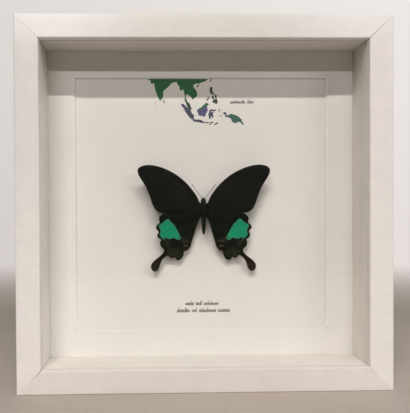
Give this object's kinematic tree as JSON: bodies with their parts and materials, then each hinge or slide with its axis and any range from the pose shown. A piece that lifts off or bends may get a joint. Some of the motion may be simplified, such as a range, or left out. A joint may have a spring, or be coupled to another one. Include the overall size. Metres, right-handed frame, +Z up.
{
  "type": "framed butterfly specimen",
  "caption": "Spread black swallowtail butterfly with green hindwing patches, pinned over a printed card in a deep white box frame that stands on its edge.",
  "frame": {"origin": "middle of the frame's footprint, on the surface it stands on", "axes": "+Z up, the glazed front faces -Y, +X to the right seen from the front"},
  "size_m": [0.25, 0.045, 0.25],
  "materials": {
    "white_foil": "satin white foil over fibreboard",
    "spacer_board": "matte white lined board",
    "pane": "polished clear sheet",
    "mat_board": "matte white mount board",
    "printed_card": "matte white card, printed",
    "fibreboard": "matte brown fibreboard",
    "steel": "satin zinc plate",
    "butterfly_body": "matte dark hair and scales",
    "wing_scales": "matte velvety scales, black with a green patch",
    "antenna_horn": "satin dark horn"
  },
  "bodies": {
    "root": {"frame_rail_top": "white_foil", "frame_rail_bottom": "white_foil", "frame_rail_left": "white_foil", "frame_rail_right": "white_foil", "spacer_top": "spacer_board", "spacer_bottom": "spacer_board", "spacer_left": "spacer_board", "spacer_right": "spacer_board", "pane": "pane", "window_mat": "mat_board", "card": "printed_card", "backboard": "fibreboard", "retaining_tab_1": "steel", "retaining_tab_2": "steel", "retaining_tab_3": "steel", "retaining_tab_4": "steel", "retaining_tab_5": "steel", "retaining_tab_6": "steel", "retaining_tab_7": "steel", "retaining_tab_8": "steel", "hanger": "steel", "hanger_rivet_left": "steel", "hanger_rivet_right": "steel", "pin": "steel", "body": "butterfly_body", "forewing_left": "wing_scales", "hindwing_left": "wing_scales", "antenna_left": "antenna_horn", "forewing_right": "wing_scales", "hindwing_right": "wing_scales", "antenna_right": "antenna_horn"}
  },
  "joints": []
}
